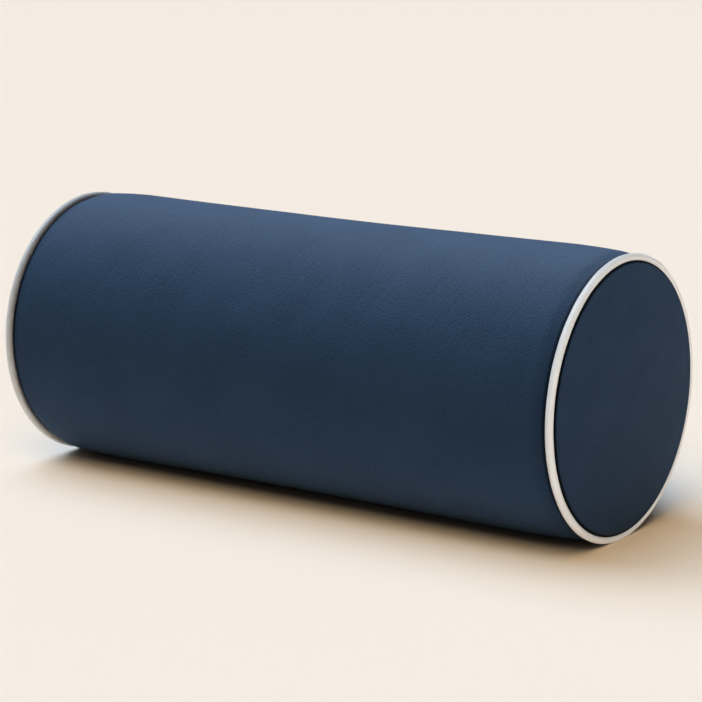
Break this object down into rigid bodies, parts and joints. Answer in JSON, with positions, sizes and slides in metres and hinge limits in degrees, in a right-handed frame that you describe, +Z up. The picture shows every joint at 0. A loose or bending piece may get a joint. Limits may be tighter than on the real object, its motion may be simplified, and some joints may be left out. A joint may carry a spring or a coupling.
{
  "type": "bolster pillow",
  "caption": "Round bolster pillow with a foam core, leatherette cover, contrast piped ends and a zip along the back.",
  "frame": {"origin": "on the floor under the bolster's middle", "axes": "+X along the bolster towards the zip's closed end, +Z up, -Y the plain front, +Y the back with the zip"},
  "size_m": [0.4866, 0.2012, 0.2004],
  "materials": {
    "navy_leatherette": "pebble-grained dark navy leatherette, satin",
    "white_piping": "smooth off-white leatherette piping, satin",
    "foam": "pale cream open-cell foam, matte",
    "wadding": "white polyester wadding, matte",
    "cotton_cord": "twisted off-white cord, matte",
    "zip_tape": "woven navy zip tape, matte",
    "zip_coil": "navy nylon coil, satin",
    "zip_metal": "dark painted die-cast metal, satin",
    "stop_metal": "pressed bright metal, satin",
    "thread": "twisted navy thread, matte"
  },
  "bodies": {
    "cover": {"body_panel": "navy_leatherette", "end_panel_left": "navy_leatherette", "end_panel_right": "navy_leatherette", "welt_strip_left": "white_piping", "welt_strip_right": "white_piping", "welt_cord_left": "cotton_cord", "welt_cord_right": "cotton_cord", "end_seam_thread_left": "thread", "end_seam_thread_right": "thread", "foam_core": "foam", "wadding_wrap": "wadding", "wadding_end_left": "wadding", "wadding_end_right": "wadding", "zip_tape_upper": "zip_tape", "zip_tape_lower": "zip_tape", "zip_chain_upper": "zip_coil", "zip_chain_lower": "zip_coil", "zip_top_stops": "stop_metal", "zip_bottom_stop": "stop_metal", "zip_stitching_upper": "thread", "zip_stitching_lower": "thread", "closing_seam_threads": "thread", "zip_bar_tacks": "thread"},
    "zip_slider": {"zip_slider": "zip_metal"},
    "zip_pull": {"zip_pull": "zip_metal"}
  },
  "joints": [
    {"name": "zip_slide", "type": "slide", "parent": "cover", "child": "zip_slider", "axis": [-1, 0, 0], "range_m": [0, 0.376], "deforming": ["zip_chain_upper", "zip_chain_lower"]},
    {"name": "pull_hinge", "type": "hinge", "parent": "zip_slider", "child": "zip_pull", "pos_m": [0.186, 0.09715, 0.13132], "axis": [0, 0.309, -0.9511], "range_deg": [0, 175]}
  ]
}
